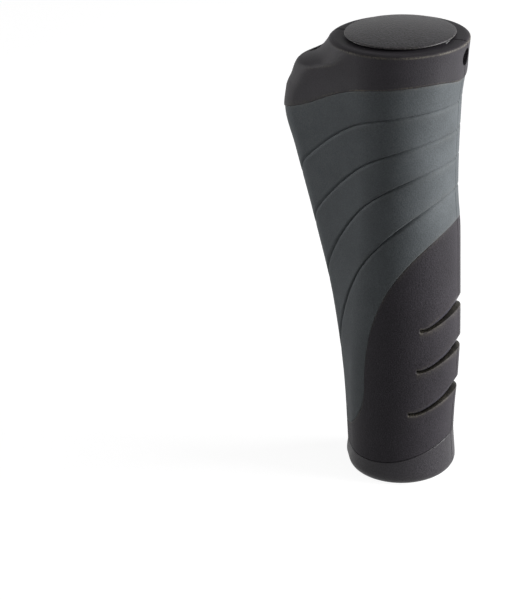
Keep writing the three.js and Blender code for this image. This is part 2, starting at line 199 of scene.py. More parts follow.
@dataclass(frozen=True)
class GripForm:
    """Sizes and outer form that every piece of the grip shares."""

    length: float = 135.7
    bore_radius: float = 11.15
    sleeve_wall: float = 1.45
    fit_gap: float = 0.3
    inlay_thickness: float = 1.8
    shoulder_foot: float = 23.4
    collar_at_wing: float = 6.5
    collar_at_back: float = 12.5
    collar_power: float = 2.9
    least_centre: float = 0.3
    tongue_half_turn: float = math.radians(65.0)
    tongue_waist: float = 31.0
    tongue_tip: float = 12.8
    inlay_edge_at_back: float = 81.8
    inlay_edge_power: float = 1.9
    end_seam_from_face: float = 8.27
    end_seam_drop_at_wing: float = 15.66
    end_seam_spread: float = math.radians(35.3)
    end_seam_power: float = 1.93
    end_seam_drop_at_back: float = 2.35
    end_seam_back_power: float = 18.0
    groove_nose: float = math.radians(5.0)
    groove_dip: float = 13.8
    groove_dip_turn: float = math.radians(12.0)
    grooves: tuple[Groove, ...] = (
        Groove(44.4, 54.4, 2.12),
        Groove(35.0, 39.3, 2.47),
        Groove(26.4, 29.2, 2.66),
        Groove(17.8, 21.3, 3.54),
    )

    @property
    def core_radius(self) -> float:
        """Inner radius of the rubber pieces, clear of the sleeve."""
        return self.bore_radius + self.sleeve_wall + self.fit_gap

    def curve(self, *points: tuple[Station, float, float]) -> SmoothCurve:
        """Curve of a radius along the bar.

        Args:
            points: The end that a distance is counted from, the distance and the radius there.

        Returns:
            The radius as a curve over the height.
        """
        return SmoothCurve(
            tuple(
                (distance if end is Station.INBOARD else self.length - distance, radius)
                for end, distance, radius in points
            )
        )

    def wing_reach(self, z: np.ndarray) -> np.ndarray:
        """Distance from the bar's axis to the wing's tip at a height."""
        low, high = Station.INBOARD, Station.OUTBOARD
        return self.curve(
            (low, 0.0, 16.8), (low, 6.0, 17.1), (low, 25.0, 17.9), (low, 52.0, 20.9),
            (high, 55.4, 27.0), (high, 35.4, 32.0), (high, 23.4, 34.8), (high, 17.4, 34.2),
            (high, 13.0, 32.3), (high, 10.8, 31.5), (high, 9.3, 30.7), (high, 8.6, 30.0),
            (high, 7.4, 27.6), (high, 5.8, 24.6), (high, 4.2, 22.7), (high, 1.8, 20.8), (high, 0.0, 19.8),
        )(z)

    def nose_radius(self, z: np.ndarray) -> np.ndarray:
        """Radius of the wing's rounded nose at a height.

        Over the shoulder the nose grows as the reach shrinks, so that the flats keep their direction: the
        ratio of side radius less nose to reach less nose stays what it is at the shoulder's foot.

        Args:
            z: Height along the bar.

        Returns:
            The radius of the nose.
        """
        low, high = Station.INBOARD, Station.OUTBOARD
        below = self.curve((low, 0.0, 8.0), (low, 60.0, 7.5), (high, 35.0, 7.6), (high, 23.4, 7.9))
        foot = np.array([self.length - self.shoulder_foot])
        ratio = (self.side_radius(foot) - below(foot)) / (self.wing_reach(foot) - below(foot))
        reach = self.wing_reach(z)
        over = (self.side_radius(z) - ratio * reach) / (1.0 - ratio)
        return np.where(z > foot, np.minimum(over, reach - self.least_centre), below(z))

    def side_radius(self, z: np.ndarray) -> np.ndarray:
        """Radius of the round part, square to the wing, at a height."""
        low, high = Station.INBOARD, Station.OUTBOARD
        return self.curve(
            (low, 0.0, 16.0), (low, 6.0, 15.8), (low, 28.0, 16.3), (low, 60.0, 16.6),
            (high, 35.4, 17.2), (high, 17.4, 18.6), (high, 0.0, 19.8),
        )(z)

    def back_radius(self, z: np.ndarray) -> np.ndarray:
        """Radius of the back, opposite the wing, at a height."""
        low, high = Station.INBOARD, Station.OUTBOARD
        return self.curve(
            (low, 0.0, 15.3), (low, 8.0, 15.2), (low, 18.0, 15.6), (low, 32.0, 16.8),
            (low, 46.0, 17.4), (low, 66.0, 17.3), (high, 58.4, 17.2), (high, 45.4, 16.4),
            (high, 19.4, 17.2), (high, 7.4, 18.9), (high, 0.0, 19.8),
        )(z)

    def skin(self, turn: np.ndarray, z: np.ndarray) -> np.ndarray:
        """Radius of the skin.

        The section is a round grip joined by tangent flats to the smaller round nose of the wing.

        Args:
            turn: Angle from the wing, from 0 to pi.
            z: Height along the bar.

        Returns:
            The distance from the bar's axis to the skin.
        """
        back = np.maximum(-np.cos(turn), 0.0) ** 2
        side = self.side_radius(z)
        round_part = side + (self.back_radius(z) - side) * back
        nose = self.nose_radius(z)
        centre = self.wing_reach(z) - nose
        flat_turn = np.arccos(np.clip((round_part - nose) / centre, -1.0, 1.0))
        nose_turn = np.arctan2(nose * np.sin(flat_turn), centre + nose * np.cos(flat_turn))
        flat = round_part / np.cos(np.clip(flat_turn - turn, 0.0, 1.4))
        inside = np.maximum(nose**2 - (centre * np.sin(turn)) ** 2, 0.0)
        tip = centre * np.cos(turn) + np.sqrt(inside)
        return np.where(turn >= flat_turn, round_part, np.where(turn > nose_turn, flat, tip))

    def collar_seam(self, turn: np.ndarray) -> np.ndarray:
        """Height of the slanted seam over the collar at an angle from the wing."""
        share = ((1.0 - np.cos(turn)) / 2.0) ** self.collar_power
        return self.collar_at_wing + (self.collar_at_back - self.collar_at_wing) * share

    def inlay_edge(self, turn: np.ndarray) -> np.ndarray:
        """Height of the inlay's lower edge.

        Two quarter rounds meet at the tongue's waist: an ellipse rounds its end, and one of a slightly
        lower power opens to the back.

        Args:
            turn: Angle from the wing, from 0 to pi.

        Returns:
            The height of the edge.
        """
        in_tongue = np.clip(turn / self.tongue_half_turn, 0.0, 1.0)
        tip = self.tongue_waist - (self.tongue_waist - self.tongue_tip) * np.sqrt(1.0 - in_tongue**2)
        from_back = np.clip((math.pi - turn) / (math.pi - self.tongue_half_turn), 0.0, 1.0)
        power = self.inlay_edge_power
        opening = (self.inlay_edge_at_back - self.tongue_waist) * (1.0 - from_back**power) ** (1.0 / power)
        return np.where(turn < self.tongue_half_turn, tip, self.tongue_waist + opening)

    def end_seam(self, turn: np.ndarray) -> np.ndarray:
        """Height of the seam between the inlay and the end piece.

        It is level but for a bell-shaped dip at the wing and a shallow one at the back.

        Args:
            turn: Angle from the wing, from 0 to pi.

        Returns:
            The height of the seam.
        """
        at_wing = 1.0 / (1.0 + (turn / self.end_seam_spread) ** self.end_seam_power)
        at_back = ((1.0 - np.cos(turn)) / 2.0) ** self.end_seam_back_power
        drop = self.end_seam_drop_at_wing * at_wing + self.end_seam_drop_at_back * at_back
        return self.length - self.end_seam_from_face - drop

    def groove_height(self, groove: Groove, turn: np.ndarray) -> np.ndarray:
        """Height of a groove.

        It falls towards the wing as a power of the angle from the back, dips once more close to the wing
        and turns there in a rounded nose.

        Args:
            groove: The groove.
            turn: Angle from the wing, from 0 to pi.

        Returns:
            The height of the groove's middle line.
        """
        rounded = np.minimum(np.hypot(turn, self.groove_nose), math.pi)
        dip = self.groove_dip * np.exp(-rounded / self.groove_dip_turn)
        fall = groove.drop * (1.0 - rounded / math.pi) ** groove.power
        return self.length - groove.from_face - fall - dip


@dataclass(frozen=True)
class Columns:
    """Angles of a ring's columns, closer together at the parting lines and the ends of the slots."""

    half_count: int = 232
    line_width: float = math.radians(1.1)
    edge_width: float = math.radians(4.0)
    slot_ends: tuple[float, ...] = (math.radians(114.5), math.radians(124.0), math.radians(127.5))

    def half(self, tongue: float) -> np.ndarray:
        """Angles on one side of the grip, from the wing to the back."""
        crowds = (
            (0.0, self.line_width, 5.0),
            (math.pi, self.line_width, 5.0),
            (tongue, self.edge_width, 3.0),
            *((end, self.edge_width / 2.0, 3.0) for end in self.slot_ends),
        )
        return crowded_span(0.0, math.pi, self.half_count, crowds)

    def angles(self, form: GripForm) -> np.ndarray:
        """Angles all the way round, mirrored about the wing's middle plane."""
        half = self.half(form.tongue_half_turn)
        return np.r_[half, 2.0 * math.pi - half[-2:0:-1]]

    def turns(self, form: GripForm) -> np.ndarray:
        """The same angles folded to 0 to pi from the wing."""
        angles = self.angles(form)
        return np.minimum(angles, 2.0 * math.pi - angles)


def edge_wear_and_highlight(radius: np.ndarray, height: np.ndarray, closed: bool) -> np.ndarray:
    """How much each point of a piece is worn and carries a painted highlight, from 0 to 1.

    The angle that the outline turns outward at a point, over the mean length of the two spans that meet
    there, is its curvature. The mark is the curvature times its reach, cut to 0 to 1. It stands for real
    scuffs and also paints highlights on sharp edges. It counts only where no near row stands much further
    out, so that slits and grooves stay clean, and each pass of the softening averages a row with its two
    neighbours.

    Args:
        radius: Radius of each point, one row for each row of the outline.
        height: Height of each point.
        closed: Whether the last row joins the first.

    Returns:
        The mark of worn edge and painted highlight at each point.
    """
    across, up = np.roll(radius, -1, axis=0) - radius, np.roll(height, -1, axis=0) - height
    last_across, last_up = np.roll(across, 1, axis=0), np.roll(up, 1, axis=0)
    turned = np.arctan2(last_across * up - last_up * across, last_across * across + last_up * up)
    span = (np.hypot(across, up) + np.hypot(last_across, last_up)) / 2.0
    wear_and_highlight = np.clip(WEAR_HIGHLIGHT_REACH * turned / np.maximum(span, SHORTEST_SPAN), 0.0, 1.0)
    shifts = range(-WEAR_HIGHLIGHT_NEIGHBOURS, WEAR_HIGHLIGHT_NEIGHBOURS + 1)
    outmost = np.max([np.roll(radius, shift, axis=0) for shift in shifts], axis=0)
    wear_and_highlight = wear_and_highlight * np.clip(1.0 - (outmost - radius) / WEAR_HIGHLIGHT_REACH, 0.0, 1.0) ** 2
    if not closed:
        wear_and_highlight[[0, -1]] = 0.0
    for _ in range(WEAR_HIGHLIGHT_SPREAD):
        wear_and_highlight = (np.roll(wear_and_highlight, 1, axis=0) + 2.0 * wear_and_highlight + np.roll(wear_and_highlight, -1, axis=0)) / 4.0
    return wear_and_highlight


def mesh_object(
    name: str,
    points: np.ndarray,
    faces: np.ndarray,
    sharp_angle: float = SHARP_ANGLE,
    marks: dict[str, np.ndarray] | None = None,
) -> bpy.types.Object:
    """Put a mesh into a new object at the origin.

    Args:
        name: Name of the piece.
        points: Vertices in millimetres, one row each.
        faces: Corner indices, four in a row.
        sharp_angle: Edges that turn more than this, in degrees, are shaded sharp.
        marks: Values from 0 to 1 at each vertex, kept as attributes for the materials.

    Returns:
        The object, linked to the scene.
    """
    mesh = bpy.data.meshes.new(name)
    mesh.vertices.add(len(points))
    mesh.vertices.foreach_set("co", (points * MM).astype(np.float32).ravel())
    mesh.loops.add(faces.size)
    mesh.loops.foreach_set("vertex_index", faces.astype(np.int32).ravel())
    mesh.polygons.add(len(faces))
    mesh.polygons.foreach_set("loop_start", np.arange(len(faces), dtype=np.int32) * 4)
    mesh.update(calc_edges=True)
    for mark, values in (marks or {}).items():
        attribute = mesh.attributes.new(mark, "FLOAT", "POINT")
        attribute.data.foreach_set("value", values.astype(np.float32).ravel())
    merged = bmesh.new()
    merged.from_mesh(mesh)
    bmesh.ops.remove_doubles(merged, verts=merged.verts, dist=1e-7)
    merged.to_mesh(mesh)
    merged.free()
    shade(mesh, sharp_angle)
    piece = bpy.data.objects.new(name, mesh)
    bpy.context.scene.collection.objects.link(piece)
    return piece


def shade(mesh: bpy.types.Mesh, sharp_angle: float) -> None:
    """Shade a mesh smooth, with its edges over an angle in degrees sharp."""
    mesh.polygons.foreach_set("use_smooth", np.ones(len(mesh.polygons), dtype=bool))
    mesh.set_sharp_from_angle(angle=math.radians(sharp_angle))


def wrapped_faces(rows: int, columns: int, closed_rows: bool) -> np.ndarray:
    """Quads of a grid whose columns close on themselves.

    Args:
        rows: Number of rows.
        columns: Number of columns.
        closed_rows: Whether the last row joins the first.

    Returns:
        Corner indices of the faces, which point outwards for an outline that runs anticlockwise.
    """
    row = np.arange(rows if closed_rows else rows - 1)[:, None]
    column = np.arange(columns)[None, :]
    next_row, next_column = (row + 1) % rows, (column + 1) % columns
    corners = (
        row * columns + column,
        row * columns + next_column,
        next_row * columns + next_column,
        next_row * columns + column,
    )
    return np.stack(corners, axis=-1).reshape(-1, 4)


def ring_object(name: str, angles: np.ndarray, rows: list[tuple[np.ndarray, ...]]) -> bpy.types.Object:
    """Closed ring round the bar, from an outline that may change with the angle.

    A point lies at its radius from the bar's axis, turned by its angle from the wing.

    Args:
        name: Name of the piece.
        angles: Angle of each column from the wing.
        rows: Radius and height of each row of the outline, anticlockwise, and where there is any its
        painted slit shade and its painted chamfer bounce light.

    Returns:
        The ring's object.
    """
    full = np.ones_like(angles)
    radius = np.stack([row[0] * full for row in rows])
    height = np.stack([row[1] * full for row in rows])
    # Worn edges, which also carry painted highlights
    marks = {"wear_and_highlight": edge_wear_and_highlight(radius, height, closed=True)}
    # Painted shade in the slits and painted bounce light on the chamfers, kept as marks for the materials
    for place, mark in enumerate(("painted_slit_shade", "bounce_light_and_polish"), start=2):
        marks[mark] = np.stack([(row[place] if len(row) > place else 0.0) * full for row in rows])
    points = np.stack([-radius * np.cos(angles), -radius * np.sin(angles), height], axis=-1)
    faces = wrapped_faces(*radius.shape, closed_rows=True)
    return mesh_object(name, points.reshape(-1, 3), faces, marks=marks)


def lathe_object(name: str, profile: np.ndarray, columns: int = 128) -> bpy.types.Object:
    """Turned solid round the bar's axis.

    Args:
        name: Name of the piece.
        profile: Radius and height of each point, anticlockwise, which starts and ends on the axis.
        columns: Number of columns.

    Returns:
        The solid's object.
    """
    angles = np.linspace(0.0, 2.0 * math.pi, columns, endpoint=False)
    radius, height = profile[:, :1], profile[:, 1:]
    grid = np.broadcast_arrays(-radius * np.cos(angles), -radius * np.sin(angles), height)
    points = np.stack(grid, axis=-1).reshape(-1, 3)
    # Worn edges, which also carry painted highlights
    marks = {"wear_and_highlight": np.broadcast_to(edge_wear_and_highlight(radius, height, closed=False), grid[0].shape)}
    faces = wrapped_faces(len(profile), columns, closed_rows=False)
    return mesh_object(name, points, faces, marks=marks)


def rounded(
    start: tuple[float, float], corner: tuple[float, float], end: tuple[float, float], steps: int = 5
) -> np.ndarray:
    """Round an outline's corner with a quadratic curve from start to end that leans on the corner."""
    t = np.linspace(0.0, 1.0, steps)[:, None]
    return (1 - t) ** 2 * np.array(start) + 2 * t * (1 - t) * np.array(corner) + t**2 * np.array(end)


def cut_rods(piece: bpy.types.Object, rods: list[bpy.types.Object]) -> None:
    """Cut rods out of a piece and remove them.

    Args:
        piece: The piece that is cut.
        rods: The cutters, which are deleted afterwards.
    """
    for rod in rods:
        modifier = piece.modifiers.new("cut", "BOOLEAN")
        modifier.operation = "DIFFERENCE"
        modifier.solver = "EXACT"
        modifier.object = rod
    depsgraph = bpy.context.evaluated_depsgraph_get()
    cut = bpy.data.meshes.new_from_object(piece.evaluated_get(depsgraph))
    piece.modifiers.clear()
    piece.data = cut
    shade(cut, SHARP_ANGLE_CUT)
    for rod in rods:
        bpy.data.objects.remove(rod)


@dataclass(frozen=True)
class NodeGraph:
    """Nodes of a material or of the world, with the steps that both are built from."""

    tree: bpy.types.NodeTree
    noise_low: float = 0.3
    noise_high: float = 0.7

    def node(self, kind: str) -> bpy.types.Node:
        """Add a node of a kind."""
        return self.tree.nodes.new(kind)

    def link(self, output: bpy.types.NodeSocket, socket: bpy.types.NodeSocket) -> None:
        """Lead one node's output into another node's socket."""
        self.tree.links.new(output, socket)

    def math(
        self, operation: str, *terms: bpy.types.NodeSocket | float, clamp: bool = False
    ) -> bpy.types.NodeSocket:
        """Join values by an operation of arithmetic.

        Args:
            operation: Name of the operation.
            terms: Its values, each a socket or a number.
            clamp: Whether the result is kept between 0 and 1.

        Returns:
            The socket of the result.
        """
        step = self.node("ShaderNodeMath")
        step.operation = operation
        step.use_clamp = clamp
        for socket, term in zip(step.inputs, terms):
            if isinstance(term, bpy.types.NodeSocket):
                self.link(term, socket)
            else:
                socket.default_value = term
        return step.outputs["Value"]

    def blend(
        self,
        share: bpy.types.NodeSocket,
        under: bpy.types.NodeSocket | Colour,
        over: Colour,
    ) -> bpy.types.NodeSocket:
        """Lay one colour over another.

        Args:
            share: How far the upper colour covers the lower one, from 0 to 1.
            under: The lower colour, or its socket.
            over: The upper colour.

        Returns:
            The socket of the blended colour.
        """
        mix = self.node("ShaderNodeMix")
        mix.data_type = "RGBA"
        self.link(share, mix.inputs["Factor"])
        if isinstance(under, bpy.types.NodeSocket):
            self.link(under, mix.inputs["A"])
        else:
            mix.inputs["A"].default_value = (*under, 1.0)
        mix.inputs["B"].default_value = (*over, 1.0)
        return mix.outputs["Result"]

    def noise(self, place: bpy.types.NodeSocket, size: float, detail: float) -> bpy.types.NodeSocket:
        """Noise whose features have a size in millimetres.

        Args:
            place: Socket with the object coordinates.
            size: Size of a feature.
            detail: Octaves of finer noise.

        Returns:
            The socket of the noise's value.
        """
        texture = self.node("ShaderNodeTexNoise")
        texture.inputs["Scale"].default_value = 1.0 / (size * MM)
        texture.inputs["Detail"].default_value = detail
        self.link(place, texture.inputs["Vector"])
        return texture.outputs["Fac"]

    def stretched(self, noise: bpy.types.NodeSocket, low: float, high: float) -> bpy.types.NodeSocket:
        """Stretch the middle of a noise, where nearly all of it lies, over a range.

        Args:
            noise: Socket of the noise.
            low: Lower end of the range.
            high: Upper end of the range.

        Returns:
            The socket of the stretched noise.
        """
        stretch = self.node("ShaderNodeMapRange")
        limits = (self.noise_low, self.noise_high, low, high)
        for name, limit in zip(("From Min", "From Max", "To Min", "To Max"), limits):
            stretch.inputs[name].default_value = limit
        self.link(noise, stretch.inputs["Value"])
        return stretch.outputs["Result"]

    def mark(self, name: str) -> bpy.types.NodeSocket:
        """Read a value that the mesh keeps at its points.

        Args:
            name: Name of the attribute.

        Returns:
            The socket of its value.
        """
        attribute = self.node("ShaderNodeAttribute")
        attribute.attribute_name = name
        return attribute.outputs["Fac"]

    def seen(self) -> bpy.types.NodeSocket:
        """Tell what is seen directly, mirrored or through glass, which is 1, from light, which is 0.

        Returns:
            The socket of the value.
        """
        path = self.node("ShaderNodeLightPath")
        total = path.outputs["Is Camera Ray"]
        for name in ("Is Glossy Ray", "Is Transmission Ray"):
            total = self.math("ADD", total, path.outputs[name], clamp=True)
        return total


@dataclass(frozen=True)
class Finish:
    """A procedural surface: drifting colour, fine mottled grain, painted slit shade, painted bounce light
    and worn edges with painted highlights.

    Attributes:
        name: Name of the material.
        colour: Linear base colour.
        roughness: Mean roughness.
        grain: Size of the grain, in millimetres.
        relief: Height of the grain, in millimetres.
        variation: Share by which the colour drifts over the surface.
        mottle: Share by which the grain lightens and darkens the colour.
        worn_highlight_colour: Linear colour laid on worn edges, partly real scuffs and partly painted
            highlight.
        worn_highlight_cover: How far that colour covers a worn edge.
        painted_slit_shade: Linear colour of the painted shade deep in a slit.
        painted_bounce_colour: Linear colour of the painted bounce light on a slot's chamfer.
        specular: Specular level of the shader.
        metallic: Whether the surface is bare metal.
        slot: Slot of the record, where it isn't the material's name. It is not used.
        drift_size: Size of the patches over which the colour drifts, in millimetres.
        patch_size: Size of the patches over which the worn highlights come and go, in millimetres.
        patch_least: Share of the worn highlights that is left between the patches.
        speck_size: Size of a worn speck, in millimetres.
        speck_most: Share of the worn highlights in the middle of a speck.
        roughness_swing: How far the grain raises and lowers the roughness.
        polish_gain: How much smoother the skin is under the chamfer's painted bounce light.
    """

    name: str
    colour: Colour
    roughness: float
    grain: float
    relief: float
    variation: float = 0.12
    mottle: float = 0.2
    worn_highlight_colour: Colour = (0.22, 0.20, 0.155)
    worn_highlight_cover: float = 0.0
    painted_slit_shade: Colour = (0.002, 0.002, 0.002)
    painted_bounce_colour: Colour = (0.060, 0.056, 0.070)
    specular: float = 0.5
    metallic: bool = False
    slot: str = ""
    drift_size: float = 9.0
    patch_size: float = 6.0
    patch_least: float = 0.1
    speck_size: float = 0.45
    speck_most: float = 1.4
    roughness_swing: float = 0.07
    polish_gain: float = 0.22

    def material(self) -> bpy.types.Material:
        """Build the material.

        A wide noise drifts the colour, and a fine one mottles it and gives the bump and the roughness. The
        painted shade in the slits, the painted bounce light on the chamfers and the worn edges with their
        painted highlights, all kept by the mesh, are laid over it in that order.

        Returns:
            The node material.
        """
        material = bpy.data.materials.new(self.name)
        material.use_nodes = True
        graph = NodeGraph(material.node_tree)
        shader = graph.tree.nodes["Principled BSDF"]
        shader.inputs["Metallic"].default_value = float(self.metallic)
        shader.inputs["Specular IOR Level"].default_value = self.specular
        place = graph.node("ShaderNodeTexCoord").outputs["Object"]
        fine = graph.noise(place, self.grain, detail=2.0)
        bounce_light_and_polish = graph.mark("bounce_light_and_polish")
        # Painted shade: near black laid into the slits
        colour = graph.blend(graph.mark("painted_slit_shade"), self.mottled(graph, place, fine), self.painted_slit_shade)
        # Painted bounce light: a lighter colour on the chamfers, whose mark also lowers the roughness
        colour = graph.blend(bounce_light_and_polish, colour, self.painted_bounce_colour)
        # Worn edges: real scuffs, and painted highlights where the edges would catch light
        colour = graph.blend(self.worn_highlight_specks(graph, place), colour, self.worn_highlight_colour)
        graph.link(colour, shader.inputs["Base Color"])
        low, high = self.roughness - self.roughness_swing, self.roughness + self.roughness_swing
        rough = graph.math("MULTIPLY_ADD", bounce_light_and_polish, -self.polish_gain, graph.stretched(fine, low, high))
        graph.link(rough, shader.inputs["Roughness"])
        bump = graph.node("ShaderNodeBump")
        bump.inputs["Distance"].default_value = self.relief * MM
        graph.link(fine, bump.inputs["Height"])
        graph.link(bump.outputs["Normal"], shader.inputs["Normal"])
        return material

    def mottled(
        self, graph: NodeGraph, place: bpy.types.NodeSocket, fine: bpy.types.NodeSocket
    ) -> bpy.types.NodeSocket:
        """Drift the colour over wide patches and mottle it with the grain.

        Args:
            graph: The material's nodes.
            place: Socket with the object coordinates.
            fine: Socket of the grain's noise.

        Returns:
            The socket of the colour.
        """
        wide = graph.stretched(graph.noise(place, self.drift_size, detail=3.0), 0.0, 1.0)
        dark = tuple(part * (1.0 - self.variation) for part in self.colour)
        light = tuple(part * (1.0 + self.variation) for part in self.colour)
        scale = graph.node("ShaderNodeVectorMath")
        scale.operation = "SCALE"
        graph.link(graph.blend(wide, dark, light), scale.inputs[0])
        graph.link(graph.stretched(fine, 1.0 - self.mottle, 1.0 + self.mottle), scale.inputs["Scale"])
        return scale.outputs["Vector"]

    def worn_highlight_specks(self, graph: NodeGraph, place: bpy.types.NodeSocket) -> bpy.types.NodeSocket:
        """Share of the worn-edge colour, with painted highlights: edge mark times wide patches and fine
        speckles.

        Args:
            graph: The material's nodes.
            place: Socket with the object coordinates.

        Returns:
            The socket of the share.
        """
        wide = graph.noise(place, self.patch_size, detail=2.0)
        patches = graph.stretched(wide, self.patch_least * self.worn_highlight_cover, self.worn_highlight_cover)
        fine = graph.stretched(graph.noise(place, self.speck_size, detail=2.0), 0.0, self.speck_most)
        return graph.math("MULTIPLY", graph.math("MULTIPLY", graph.mark("wear_and_highlight"), patches), fine)


@dataclass
class Finishes:
    """The finishes of the grip's pieces."""

    # The cover of each finish's worn edges also sets how strong its painted edge highlights are
    black_rubber: Finish = Finish(
        "black_rubber", (0.0305, 0.0275, 0.0325), 0.62, 0.4, 0.075, mottle=0.4, worn_highlight_cover=0.8, specular=0.15
    )
    end_rubber: Finish = Finish(
        "end_rubber", (0.0295, 0.0268, 0.0315), 0.6, 0.34, 0.055, mottle=0.3, worn_highlight_cover=1.0, specular=0.21,
        slot="black_rubber",
    )
    grey_rubber: Finish = Finish(
        "grey_rubber", (0.090, 0.100, 0.107), 0.68, 0.4, 0.065, worn_highlight_cover=0.4, specular=0.22
    )
    black_plastic: Finish = Finish(
        "black_plastic", (0.027, 0.0245, 0.029), 0.45, 0.42, 0.1, mottle=0.4, worn_highlight_cover=0.2, specular=0.28
    )
    plug_plastic: Finish = Finish(
        "plug_plastic", (0.038, 0.036, 0.040), 0.42, 0.55, 0.14, mottle=0.9, worn_highlight_cover=0.3, specular=0.24,
        slot="black_plastic",
    )
    aluminium: Finish = Finish(
        "aluminium", (0.86, 0.87, 0.88), 0.24, 0.15, 0.004, mottle=0.04, metallic=True
    )
    steel: Finish = Finish("screw_steel", (0.6, 0.6, 0.6), 0.3, 0.15, 0.004, mottle=0.06, metallic=True)
    made: dict[str, bpy.types.Material] = field(default_factory=dict)

    def dress(self, piece: bpy.types.Object, finish: Finish) -> None:
        """Give a piece its only material.

        Args:
            piece: The piece.
            finish: Its finish.
        """
        if finish.name not in self.made:
            self.made[finish.name] = finish.material()
        piece.data.materials.clear()
        piece.data.materials.append(self.made[finish.name])


def settle(piece: bpy.types.Object, *nodes: str) -> None:
    """Let a piece ride on the grip and stand for its solids, and report it.

    Args:
        piece: The piece.
        nodes: Nodes of the solids that it is shown for.
    """
    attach(piece, "root")
    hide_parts(*nodes)
    log.info("%s: %d faces", piece.name, len(piece.data.polygons))


@dataclass
class Sleeve:
    """Rigid tube over the bar, whose inboard end shows as the collar."""

    form: GripForm
    ring_depth: float
    flare: float = 0.55
    flare_power: float = 1.5
    edge: float = 3.0
    edge_rows: int = 14
    collar_rows: int = 26
    lip: float = 0.16

    def build(self, angles: np.ndarray, turns: np.ndarray) -> bpy.types.Object:
        """Build the sleeve.

        The collar is flush with the grip's skin at the seam, flares towards its foot as one minus a power
        of the height, and ends in a quarter round. A small bevel opens the seam.

        Args:
            angles: Angle of each column.
            turns: The same angles folded to one side.

        Returns:
            The sleeve's object.
        """
        form = self.form
        seam = form.collar_seam(turns)
        parting = PartingLine().depth(turns)
        level = np.ones_like(turns)
        rows = [(form.bore_radius, 0.0)]
        for angle in np.linspace(0.0, math.pi / 2.0, self.edge_rows):
            z = self.edge * (1.0 - math.cos(angle))
            inset = self.edge * (1.0 - math.sin(angle))
            rows.append((form.skin(turns, z * level) + self.flare - inset - parting * math.sin(angle), z))
        for share in np.linspace(0.0, 1.0, self.collar_rows)[1:]:
            z = self.edge + (seam - self.lip - self.edge) * share
            rows.append((form.skin(turns, z) + self.flare * (1.0 - share**self.flare_power) - parting, z))
        rows.append((form.skin(turns, seam) - self.lip, seam))
        tube = form.bore_radius + form.sleeve_wall
        top = form.length - self.ring_depth - form.fit_gap
        rows += [(tube, seam), (tube, top), (form.bore_radius, top)]
        return ring_object("collar_and_sleeve", angles, rows)


@dataclass(frozen=True)
class PartingLine:
    """Fine line that the mould leaves along the wing's tip and along the back."""

    cut: float = 0.22
    half_turn: float = math.radians(0.55)

    def depth(self, turns: np.ndarray) -> np.ndarray:
        """Depth of the line: a narrow bell round each of its two places."""
        from_line = np.minimum(turns, math.pi - turns)
        return self.cut * np.exp(-((from_line / self.half_turn) ** 2))


@dataclass(frozen=True)
class FingerSlot:
    """A finger slot across the back.

    Attributes:
        share: Place of its lower lip between the collar's seam and the inlay's lower edge.
        half_turn: Angle from the back at which it ends.
    """

    share: float
    half_turn: float


